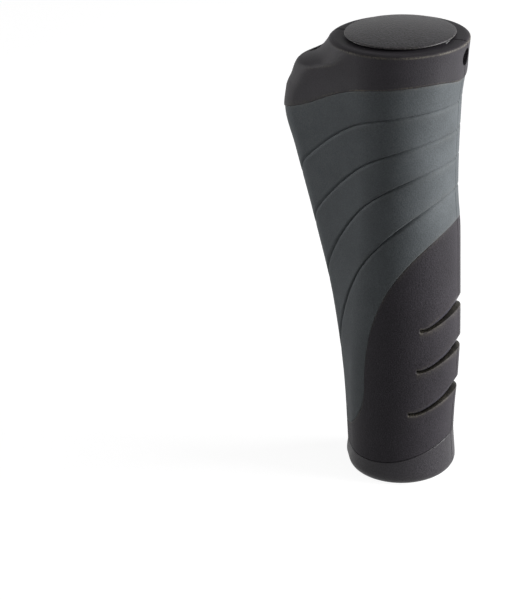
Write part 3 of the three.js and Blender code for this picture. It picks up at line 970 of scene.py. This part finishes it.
@dataclass
class RubberBody:
    """Black rubber body with finger slots across the back and a bed for the inlay."""

    form: GripForm
    slots: tuple[FingerSlot, ...] = (
        FingerSlot(0.203, math.radians(66.0)),
        FingerSlot(0.401, math.radians(57.0)),
        FingerSlot(0.592, math.radians(53.5)),
    )
    slot_curl: float = 0.03
    slot_curl_power: float = 6.5
    slit_height: float = 0.95
    slit_narrowing: float = 0.35
    slit_depth: float = 1.5
    rib_half_width: float = 0.1
    rib_rise: float = 0.45
    slit_below_chamfer: float = 1.3
    slit_wall: float = 0.14
    chamfer_depth: float = 1.75
    chamfer_height: float = 3.2
    reach_power: float = 0.9
    lip_round: float = 0.4
    lip_sink: float = 0.2
    # Painted shade in the slits and painted bounce light on the chamfers
    painted_shade_edge: float = 0.07
    bounce_and_polish_rise: float = 2.0
    rib_shade_cut: float = 0.4
    rows_below: int = 22
    rows_per_slot: int = 48
    bed_rows: int = 18
    mean_cover: float = 4.0
    edge_round: float = 0.12
    edge_width: float = 0.35
    seam_gap: float = 0.18

    def lip_share(self, slot: FingerSlot, turns: np.ndarray) -> np.ndarray:
        """Share of the height at which a slot's lower lip runs: its ends turn up."""
        from_back = np.minimum((math.pi - turns) / slot.half_turn, 1.0)
        return slot.share + self.slot_curl * from_back**self.slot_curl_power

    def slot_sink(
        self, slot: FingerSlot, above: np.ndarray, turns: np.ndarray, radius: float
    ) -> tuple[np.ndarray, np.ndarray, np.ndarray]:
        """Depth of a finger slot, the painted shade in its slit and the painted bounce light on its chamfer.

        The slit is a long hole with half-round ends and a thin rib along its middle. Its depth is read from
        the distance to that outline, and its rim is rounded. A flat chamfer slopes from the skin down to the
        slit's upper edge. Its depth and height grow from the slot's ends to the back. The slit stays deeper
        than the chamfer. Painted shade darkens the slit, and painted bounce light, which also smooths the
        skin, follows the chamfer's depth.

        Args:
            slot: The slot.
            above: Distance above the slot's lower lip, square to it.
            turns: Angle from the wing, from 0 to pi.
            radius: Mean radius of the skin there.

        Returns:
            How far the skin sinks, and the shares of painted shade and of painted bounce light.
        """
        reach = np.clip(1.0 - (math.pi - turns) / slot.half_turn, 0.0, 1.0) ** self.reach_power
        half = self.slit_height / 2.0 * (1.0 - self.slit_narrowing * reach)
        from_end = (slot.half_turn - (math.pi - turns)) * radius
        outside = np.hypot(np.maximum(half - from_end, 0.0), above - half) - half
        deepest = self.slit_depth + self.slit_below_chamfer * reach
        slit = deepest * smooth_step(-outside, 0.0, self.slit_wall)
        rib = smooth_step(self.rib_half_width * 2.0 - np.abs(above - half), 0.0, self.rib_half_width)
        slit = np.minimum(slit, deepest - self.rib_rise * rib)
        rim = self.lip_sink * np.clip(1.0 - outside / self.lip_round, 0.0, 1.0) ** 2
        height = self.slit_height + self.chamfer_height * reach
        chamfer = self.chamfer_depth * reach * np.clip((height - above) / (height - 2.0 * half), 0.0, 1.0)
        chamfer = chamfer * (above > half)
        # Painted shade inside the slit, weaker on the rib
        painted_slit_shade = smooth_step(self.painted_shade_edge - outside, 0.0, self.painted_shade_edge) * (1.0 - self.rib_shade_cut * rib)
        # Painted bounce light on the chamfer, which also lowers its roughness
        bounce_light_and_polish = np.clip(self.bounce_and_polish_rise * chamfer / self.chamfer_depth, 0.0, 1.0) * (1.0 - painted_slit_shade)
        return np.maximum(np.maximum(slit, rim), chamfer), painted_slit_shade, bounce_light_and_polish

    def build(self, angles: np.ndarray, turns: np.ndarray) -> bpy.types.Object:
        """Build the body.

        Rows run in bands between the collar's seam, the slots' lips and the inlay's edge, so they follow the
        slots and crowd towards them.

        Args:
            angles: Angle of each column.
            turns: The same angles folded to one side.

        Returns:
            The body's object.
        """
        form = self.form
        start, end = form.collar_seam(turns) + self.seam_gap, form.inlay_edge(turns)
        lips = [start + (end - start) * self.lip_share(slot, turns) for slot in self.slots]
        lines = [start, *lips, end]
        leans = [lean(line, turns, form.skin(turns, line)) for line in lips]
        parting = PartingLine().depth(turns)
        mean_radius = form.core_radius + self.mean_cover
        at_both_ends = ((0.0, 0.03, 8.0), (1.0, 0.05, 8.0))
        above_lip = ((0.04, 0.055, 14.0), (0.14, 0.12, 2.5), (1.0, 0.03, 9.0))
        first = crowded_span(0.0, 1.0, self.rows_below, at_both_ends)
        band = crowded_span(0.0, 1.0, self.rows_per_slot, above_lip)
        rows = [(form.core_radius, start)]
        for i, (low, high) in enumerate(zip(lines[:-1], lines[1:])):
            shares = first if i == 0 else band
            for share in shares if i == len(lips) else shares[:-1]:
                z = low + (high - low) * share
                cuts = [(parting, np.zeros_like(turns), np.zeros_like(turns))]
                for slot, lip, slant in zip(self.slots, lips, leans):
                    cuts.append(self.slot_sink(slot, (z - lip) / slant, turns, mean_radius))
                # Each slot also gives its painted slit shade and its painted chamfer bounce light
                sink, painted_slit_shade, bounce_light_and_polish = np.max(cuts, axis=0)
                from_edge = np.minimum(z - start, end - z)
                sink = sink + self.edge_round * np.maximum(1.0 - from_edge / self.edge_width, 0.0) ** 2
                rows.append((form.skin(turns, z) - sink, z, painted_slit_shade, bounce_light_and_polish))
        bed = form.inlay_thickness + form.fit_gap
        top = form.end_seam(turns) - form.fit_gap
        for share in np.linspace(0.0, 1.0, self.bed_rows):
            z = end + (top - end) * share
            rows.append((form.skin(turns, z) - bed, z))
        rows.append((form.core_radius, top))
        return ring_object("rubber_body", angles, rows)


@dataclass
class PalmInlay:
    """Grey rubber inlay with four curved grooves."""

    form: GripForm
    groove_depth: float = 0.58
    groove_upper_width: float = 0.42
    groove_lower_width: float = 0.95
    groove_power: float = 1.7
    rows_per_band: int = 26
    back_rows: int = 18
    lower_gap: float = 0.02
    upper_gap: float = 0.05
    edge_round: float = 0.1
    edge_width: float = 0.3

    def groove_sink(self, across: np.ndarray) -> np.ndarray:
        """Depth of a groove: a steep upper wall and a wider lower flank, each a power of the share across.

        Args:
            across: Distance above the groove's middle line, square to it.

        Returns:
            How far the skin sinks.
        """
        width = np.where(across > 0.0, self.groove_upper_width, self.groove_lower_width)
        share = np.clip(1.0 - np.abs(across) / width, 0.0, 1.0)
        return self.groove_depth * share**self.groove_power

    def build(self, angles: np.ndarray, turns: np.ndarray) -> bpy.types.Object:
        """Build the inlay.

        Rows run between neighbouring grooves and crowd towards them, so each groove has rows of its own.

        Args:
            angles: Angle of each column.
            turns: The same angles folded to one side.

        Returns:
            The inlay's object.
        """
        form = self.form
        low = form.inlay_edge(turns) + self.lower_gap
        high = form.end_seam(turns) - self.upper_gap
        lines = [low, *(form.groove_height(groove, turns) for groove in form.grooves), high]
        leans = [lean(line, turns, form.skin(turns, line)) for line in lines]
        parting = PartingLine().depth(turns)
        rows = []
        last_band = len(lines) - 2
        for band in range(len(lines) - 1):
            shares = (1.0 - np.cos(np.linspace(0.0, math.pi, self.rows_per_band))) / 2.0
            for share in shares if band == last_band else shares[:-1]:
                z = lines[band] + (lines[band + 1] - lines[band]) * share
                sink = parting.copy()
                for line, slant in zip(lines[1:-1], leans[1:-1]):
                    sink += self.groove_sink((z - line) / slant)
                from_end = np.minimum(z - low, high - z)
                sink += self.edge_round * np.maximum(1.0 - from_end / self.edge_width, 0.0) ** 2
                rows.append((form.skin(turns, z) - sink, z))
        for share in np.linspace(1.0, 0.0, self.back_rows):
            z = low + (high - low) * share
            rows.append((form.skin(turns, z) - form.inlay_thickness, z))
        return ring_object("inlay_moulded", angles, rows)


@dataclass
class ClampRing:
    """Aluminium ring in the outboard face, with a flat-ended lobe towards the wing and one to the back."""

    form: GripForm
    outer_radius: float = 13.5
    depth: float = 8.0
    lobe_reach: float = 14.7
    lobe_half_width: float = 3.9
    screw_depth: float = 4.8
    screw_hole_radius: float = 2.3
    chamfer: float = 0.3
    drill_overshoot: float = 1.0

    def outline(self, turns: np.ndarray, grow: float = 0.0) -> np.ndarray:
        """Outer radius of the ring.

        The outline is a circle joined to a rectangle across the wing's plane, seen along the bar.

        Args:
            turns: Angle from the wing, from 0 to pi.
            grow: Clearance added all round.

        Returns:
            The radius at each angle.
        """
        circle, reach = self.outer_radius + grow, self.lobe_reach + grow
        half = self.lobe_half_width + grow
        across, along = np.abs(np.sin(turns)), np.abs(np.cos(turns))
        box = np.minimum(reach / np.maximum(along, 1e-6), half / np.maximum(across, 1e-6))
        return np.maximum(circle, box)

    def rods(self, radius: float, inner: float, outer: float) -> list[bpy.types.Object]:
        """Cutters for the three screw holes.

        Args:
            radius: Radius of the holes.
            inner: Distance from the axis at which they start.
            outer: Distance from the axis at which they end.

        Returns:
            One rod for each hole.
        """
        height = self.form.length - self.screw_depth
        return [
            radial_rod(f"rod_{place.name.lower()}", place, radius, inner, outer, height) for place in Place
        ]

    def build(self, angles: np.ndarray, turns: np.ndarray) -> bpy.types.Object:
        """Build the ring with chamfered edges and its cross holes.

        Args:
            angles: Angle of each column.
            turns: The same angles folded to one side.

        Returns:
            The ring's object.
        """
        form, cut = self.form, self.chamfer
        low, high = form.length - self.depth, form.length
        outer, bore = self.outline(turns), form.bore_radius
        rows = [
            (bore, low + cut), (bore + cut, low), (outer - cut, low), (outer, low + cut),
            (outer, high - cut), (outer - cut, high), (bore + cut, high), (bore, high - cut),
        ]
        piece = ring_object("clamp_ring_turned", angles, rows)
        inner, reach = bore - self.drill_overshoot, self.lobe_reach + self.drill_overshoot
        cut_rods(piece, self.rods(self.screw_hole_radius, inner, reach))
        return piece


def radial_rod(
    name: str, place: Place, radius: float, inner: float, outer: float, height: float
) -> bpy.types.Object:
    """Cylinder that runs outward from the bar's axis.

    Args:
        name: Name of the rod.
        place: Where it points.
        radius: Radius of the rod.
        inner: Distance from the axis at which it starts.
        outer: Distance from the axis at which it ends.
        height: Height of its axis along the bar.

    Returns:
        The rod's object.
    """
    profile = np.array([(0.0, inner), (radius, inner), (radius, outer), (0.0, outer)])
    rod = lathe_object(name, profile, columns=64)
    rod.data.transform(outward(place, height))
    return rod


def outward(place: Place, height: float) -> Matrix:
    """Transform that lays a shape along Z outward from the bar's axis.

    Args:
        place: Where the shape points.
        height: Height along the bar at which it lies, in millimetres.

    Returns:
        The transform.
    """
    lay = Matrix.Rotation(-math.pi / 2.0, 4, "Y")
    turn = Matrix.Rotation(math.radians(place.value), 4, "Z")
    return Matrix.Translation((0.0, 0.0, height * MM)) @ turn @ lay


@dataclass
class EndPiece:
    """Black outboard end: the wing's corner, a raised flat face, the ring's seat and three key holes."""

    form: GripForm
    ring: ClampRing
    edge_width: float = 1.8
    edge_height: float = 0.9
    key_hole_radius: float = 2.5
    key_hole_overshoot: float = 5.0
    seam_edge: float = 0.28
    seam_edge_width: float = 0.45
    lip_rise: float = 0.3
    lip_fade: float = 3.5
    shoulder_from_face: float = 9.6
    least_flank: float = 0.2
    least_shoulder: float = 0.3
    shoulder_step: float = 0.12
    flank_rows: int = 46
    shoulder_rows: int = 74
    edge_rows: int = 20
    seat_chamfer: float = 0.25
    slit_depth: float = 0.5
    slit_half_width: float = 0.16
    slit_start_from_face: float = 9.4
    slit_full_from_face: float = 8.6

    def build(self, angles: np.ndarray, turns: np.ndarray) -> bpy.types.Object:
        """Build the end piece.

        Rows run from the slanted seam to the level shoulder of the wing, then level up to the face, whose
        edge is a quarter ellipse.

        Args:
            angles: Angle of each column.
            turns: The same angles folded to one side.

        Returns:
            The end piece's object.
        """
        form = self.form
        seam = form.end_seam(turns)
        shoulder, face = form.length - self.shoulder_from_face, form.length
        parting = PartingLine().depth(turns)
        rows = [(form.core_radius, seam)]
        at_seam = ((0.0, 0.02, 6.0),)
        for share in crowded_span(0.0, 1.0, self.flank_rows, at_seam):
            z = seam + (np.maximum(shoulder, seam + self.least_flank) - seam) * share
            rows.append((form.skin(turns, z) + self.lip(z - seam) - parting, z))
        for z in np.linspace(shoulder + self.shoulder_step, face - self.edge_height, self.shoulder_rows):
            level = np.maximum(z * np.ones_like(turns), seam + self.least_shoulder)
            sink = parting + self.slit(turns, z) - self.lip(level - seam)
            rows.append((form.skin(turns, level) - sink, level))
        for angle in np.linspace(0.0, math.pi / 2.0, self.edge_rows)[1:]:
            z = face - self.edge_height * (1.0 - math.sin(angle))
            inset = self.edge_width * (1.0 - math.cos(angle))
            sink = parting * math.sin(angle)
            rows.append((form.skin(turns, z * np.ones_like(turns)) - inset - parting + sink, z - sink))
        seat = self.ring.outline(turns, grow=form.fit_gap)
        floor = face - self.ring.depth - form.fit_gap
        rows += [
            (seat + self.seat_chamfer, face - parting), (seat, face - self.seat_chamfer),
            (seat, floor), (form.core_radius, floor),
        ]
        piece = ring_object("end_piece_moulded", angles, rows)
        outer = float(form.wing_reach(np.array([face - self.ring.depth]))[0]) + self.key_hole_overshoot
        cut_rods(piece, self.ring.rods(self.key_hole_radius, self.ring.outer_radius, outer))
        return piece

    def lip(self, from_seam: np.ndarray) -> np.ndarray:
        """Height of the lip over the inlay: it rounds up from the seam and fades away from it."""
        rise = self.lip_rise * np.exp(-((from_seam / self.lip_fade) ** 2))
        return rise - self.seam_edge * np.maximum(1.0 - from_seam / self.seam_edge_width, 0.0) ** 2

    def slit(self, turns: np.ndarray, z: float) -> np.ndarray:
        """Depth of the slit over the wing's shoulder: a bell across the wing's tip, faded in from below.

        Args:
            turns: Angle from the wing, from 0 to pi.
            z: Height along the bar.

        Returns:
            How far the skin sinks.
        """
        face = self.form.length
        across = self.form.wing_reach(np.array([z]))[0] * turns
        along = smooth_step(np.array(z), face - self.slit_start_from_face, face - self.slit_full_from_face)
        return self.slit_depth * along * np.exp(-((across / self.slit_half_width) ** 2))


@dataclass
class GrubScrew:
    """Grub screw with a rolled thread, a cup point towards the bar and a hexagon socket."""

    form: GripForm
    ring: ClampRing
    place: Place
    radius: float = 2.0
    length: float = 3.6
    point_reach: float = 0.45
    point_radius: float = 1.1
    cup_radius: float = 0.8
    socket_half_width: float = 1.0
    socket_depth: float = 1.8
    socket_chamfer: float = 0.12
    socket_cone: float = 0.35
    head_chamfer: float = 0.25
    cup_slope: float = 0.5
    pitch: float = 0.7
    thread_depth: float = 0.22
    thread_rows: int = 42
    columns: int = 72

    def build(self) -> bpy.types.Object:
        """Build the screw along Z and turn it outward.

        The thread is a triangle wave of the height over the pitch, less the share of a turn. The hexagon's
        radius is its half width over the cosine of the angle from the nearest flat's middle.

        Returns:
            The screw's object.
        """
        angles = np.linspace(0.0, 2.0 * math.pi, self.columns, endpoint=False)
        full = np.ones_like(angles)
        tip = self.form.bore_radius - self.point_reach
        head = tip + self.length
        cone = self.radius - self.point_radius
        rows = [
            (0.0 * full, tip + self.cup_radius * self.cup_slope),
            (self.cup_radius * full, tip),
            (self.point_radius * full, tip),
        ]
        for z in np.linspace(tip + cone, head - self.head_chamfer, self.thread_rows):
            phase = (z / self.pitch - angles / (2.0 * math.pi)) % 1.0
            ridge = np.abs(2.0 * phase - 1.0)
            rows.append((self.radius - self.thread_depth * (1.0 - ridge), z))
        sixth = math.pi / 3.0
        hexagon = self.socket_half_width / np.cos((angles + sixth / 2.0) % sixth - sixth / 2.0)
        floor = head - self.socket_depth
        rows += [
            ((self.radius - self.head_chamfer) * full, head),
            (hexagon + self.socket_chamfer, head),
            (hexagon, head - self.socket_chamfer),
            (hexagon, floor),
            (0.0 * full, floor - self.socket_cone),
        ]
        radius = np.stack([r for r, _ in rows])
        height = np.stack([z * full for _, z in rows])
        points = np.stack([radius * np.cos(angles), radius * np.sin(angles), height], axis=-1)
        faces = wrapped_faces(*radius.shape, closed_rows=False)
        name = f"screw_{self.place.name.lower()}"
        piece = mesh_object(name, points.reshape(-1, 3), faces, SHARP_ANGLE_THREAD)
        piece.data.transform(outward(self.place, self.form.length - self.ring.screw_depth))
        return piece


@dataclass
class EndPlug:
    """Black plastic plug: low domed head, hollow-cornered skirt, two thin ribs and an end disc."""

    form: GripForm
    head_radius: float = 15.75
    rim_thickness: float = 0.75
    rim_round: float = 0.32
    rim_undercut: float = 0.4
    dome: float = 1.1
    dome_rows: int = 22
    skirt_depth: float = 2.6
    skirt_spread: float = 1.2
    skirt_rise: float = 0.7
    skirt_clearance: float = 1.0
    stem_radius: float = 6.2
    rib_radius: float = 9.7
    rib_thickness: float = 0.8
    rib_rim: float = 0.3
    rib_crown: float = 0.12
    rib_taper: float = 0.6
    rib_depths: tuple[float, ...] = (9.2, 5.1)
    tip_depth: float = 14.3
    tip_radius: float = 8.7
    tip_chamfer: float = 0.25
    tip_chamfer_height: float = 0.2
    tip_draft: float = 0.1

    def rib(self, seat: float, depth: float) -> np.ndarray:
        """Outline of a thin rib with a rounded rim, from its lower root to its upper one.

        Args:
            seat: Height of the head's underside.
            depth: Distance of the rib below it.

        Returns:
            Radius and height of each point.
        """
        half = self.rib_thickness / 2.0
        middle = seat - depth
        rim, taper = self.rib_radius - self.rib_rim, half * self.rib_taper
        crown = (self.rib_radius + self.rib_crown, middle)
        edge = rounded((rim, middle - taper), crown, (rim, middle + taper), steps=7)
        lower, upper = (self.stem_radius, middle - half), (self.stem_radius, middle + half)
        return np.vstack([lower, edge, upper])

    def build(self) -> bpy.types.Object:
        """Build the plug.

        The head's top is a shallow paraboloid with a rounded rim, whose side draws in towards the face.

        Returns:
            The plug's object.
        """
        seat = self.form.length + self.form.fit_gap
        tip = seat - self.tip_depth
        disc = self.rib_thickness
        below = [
            (0.0, tip),
            (self.tip_radius - self.tip_chamfer, tip),
            (self.tip_radius, tip + self.tip_chamfer_height),
            (self.tip_radius - self.tip_draft, tip + disc * self.rib_taper),
            (self.stem_radius, tip + disc),
        ]
        skirt = rounded(
            (self.stem_radius, seat - self.skirt_depth),
            (self.stem_radius + self.skirt_spread, seat - self.skirt_rise),
            (self.form.bore_radius - self.skirt_clearance, seat),
            steps=8,
        )
        top = seat + self.rim_thickness
        undercut = (self.head_radius - self.rim_undercut, seat)
        corner = (self.head_radius, top)
        rim = rounded(
            (self.head_radius, top - self.rim_round), corner, (self.head_radius - self.rim_round, top)
        )
        within_rim = 1.0 - self.rim_round / self.head_radius
        share = np.linspace(1.0, 0.0, self.dome_rows)[1:, None] * within_rim
        crown = np.hstack([self.head_radius * share, top + self.dome * (1.0 - share**2)])
        ribs = [self.rib(seat, depth) for depth in self.rib_depths]
        return lathe_object("plug_moulded", np.vstack([below, *ribs, skirt, undercut, rim, crown]))


@dataclass(frozen=True)
class Studio:
    """Pale floor, soft lamps and the camera of the photograph."""

    lens: float = 134.35
    camera_place: tuple[float, float, float] = (192.5, -572.3, 328.5)
    heading: float = math.radians(22.5)
    pitch: float = math.radians(24.393)
    roll: float = math.radians(-1.926)
    floor_size: float = 6000.0
    floor_gap: float = 0.05
    floor_grey: float = 0.25
    floor_roughness: float = 0.9
    floor_lift: float = 0.93
    even_light: float = 0.06
    backdrop_low: float = 0.15
    backdrop_high: float = 0.75
    ceiling: float = 0.25

    def camera(self) -> None:
        """Place the camera, which looks along its heading, pitched down to the floor and rolled a little."""
        data = bpy.data.cameras.new("camera")
        data.sensor_fit = "AUTO"
        data.sensor_width = 36.0
        data.lens = self.lens
        data.clip_start, data.clip_end = 0.02, 20.0
        camera = bpy.data.objects.new("camera", data)
        bpy.context.scene.collection.objects.link(camera)
        right = Vector((math.cos(self.heading), math.sin(self.heading), 0.0))
        level = Vector((-math.sin(self.heading), math.cos(self.heading), 0.0))
        ahead = level * math.cos(self.pitch) - Vector((0.0, 0.0, math.sin(self.pitch)))
        up = right.cross(ahead)
        across = right * math.cos(self.roll) + up * math.sin(self.roll)
        upright = up * math.cos(self.roll) - right * math.sin(self.roll)
        turn = Matrix((across, upright, -ahead)).transposed().to_4x4()
        camera.matrix_world = Matrix.Translation(Vector(self.camera_place) * MM) @ turn
        bpy.context.scene.camera = camera

    def lamp(
        self,
        name: str,
        place: tuple[float, float, float],
        size: float,
        power: float,
        aim: float = 70.0,
        spread: float = 180.0,
    ) -> None:
        """Add a soft square lamp that faces the bar's axis.

        Args:
            name: Name of the lamp.
            place: Where it hangs, in millimetres.
            size: Length of its side, in millimetres.
            power: Power in watts.
            aim: Height on the axis that it faces, in millimetres.
            spread: Angle over which it shines, in degrees.
        """
        data = bpy.data.lights.new(name, "AREA")
        data.size = size * MM
        data.energy = power
        data.spread = math.radians(spread)
        lamp = bpy.data.objects.new(name, data)
        middle = Vector((0.0, 0.0, aim))
        lamp.location = Vector(place) * MM
        lamp.rotation_euler = (middle - Vector(place)).to_track_quat("-Z", "Y").to_euler()
        bpy.context.scene.collection.objects.link(lamp)

    def floor(self) -> None:
        """Lay a wide pale floor that is lifted to white where it is seen, so that it keeps the shadow."""
        half = self.floor_size / 2.0
        low = -self.floor_gap
        corners = np.array([(-half, -half, low), (half, -half, low), (half, half, low), (-half, half, low)])
        floor = mesh_object("floor", corners, np.array([[0, 1, 2, 3]]))
        material = bpy.data.materials.new("pale_floor")
        material.use_nodes = True
        graph = NodeGraph(material.node_tree)
        shader = graph.tree.nodes["Principled BSDF"]
        shader.inputs["Base Color"].default_value = (self.floor_grey, self.floor_grey, self.floor_grey, 1.0)
        shader.inputs["Roughness"].default_value = self.floor_roughness
        shader.inputs["Specular IOR Level"].default_value = 0.0
        glow = graph.node("ShaderNodeEmission")
        graph.link(graph.math("MULTIPLY", graph.seen(), self.floor_lift), glow.inputs["Strength"])
        both = graph.node("ShaderNodeAddShader")
        graph.link(shader.outputs["BSDF"], both.inputs[0])
        graph.link(glow.outputs["Emission"], both.inputs[1])
        graph.link(both.outputs["Shader"], graph.tree.nodes["Material Output"].inputs["Surface"])
        floor.data.materials.append(material)

    def world(self) -> None:
        """Surround the grip with a soft even light, seen as a backdrop that is white low down.

        Seen directly or mirrored, the backdrop falls from white at the horizon to a darker ceiling.
        """
        world = bpy.data.worlds.new("studio")
        bpy.context.scene.world = world
        world.use_nodes = True
        graph = NodeGraph(world.node_tree)
        background = graph.tree.nodes["Background"]
        background.inputs["Color"].default_value = (1.0, 1.0, 1.0, 1.0)
        height = graph.node("ShaderNodeSeparateXYZ")
        graph.link(graph.node("ShaderNodeTexCoord").outputs["Generated"], height.inputs["Vector"])
        backdrop = graph.node("ShaderNodeMapRange")
        limits = (self.backdrop_low, self.backdrop_high, 1.0, self.ceiling)
        for name, limit in zip(("From Min", "From Max", "To Min", "To Max"), limits):
            backdrop.inputs[name].default_value = limit
        graph.link(height.outputs["Z"], backdrop.inputs["Value"])
        shown = graph.node("ShaderNodeMix")
        shown.inputs["A"].default_value = self.even_light
        graph.link(graph.seen(), shown.inputs["Factor"])
        graph.link(backdrop.outputs["Result"], shown.inputs["B"])
        graph.link(shown.outputs["Result"], background.inputs["Strength"])

    def light(self) -> None:
        """Light the grip from its right, with weak lamps in front of it and on its left."""
        self.world()
        self.lamp("key_right", (640.0, 165.0, 260.0), 420.0, 8.8)
        self.lamp("right_front", (640.0, -260.0, 300.0), 420.0, 1.0)
        self.lamp("fill_left", (-380.0, -60.0, 170.0), 200.0, 0.055, aim=137.0, spread=32.0)


def main() -> None:
    """Build the grip around its solids, dress it, and set the stage."""
    logging.basicConfig(level=logging.INFO, format="%(name)s: %(message)s")
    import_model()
    form = GripForm()
    columns = Columns()
    angles, turns = columns.angles(form), columns.turns(form)
    ring = ClampRing(form)
    finishes = Finishes()

    rings = (
        (Sleeve(form, ring.depth), finishes.black_plastic, "core_sleeve"),
        (RubberBody(form), finishes.black_rubber, "grip_body"),
        (PalmInlay(form), finishes.grey_rubber, "palm_inlay"),
        (EndPiece(form, ring), finishes.end_rubber, "outboard_end_piece"),
        (ring, finishes.aluminium, "clamp_ring"),
    )
    for part, finish, node in rings:
        piece = part.build(angles, turns)
        finishes.dress(piece, finish)
        settle(piece, node)
    for place in Place:
        screw = GrubScrew(form, ring, place).build()
        finishes.dress(screw, finishes.steel)
        settle(screw, f"grub_screw_{place.name.lower()}")
    plug = EndPlug(form).build()
    finishes.dress(plug, finishes.plug_plastic)
    settle(plug, "end_plug")

    bpy.context.scene.view_settings.view_transform = "Standard"
    studio = Studio()
    studio.floor()
    studio.light()
    studio.camera()


if __name__ == "__main__":
    main()
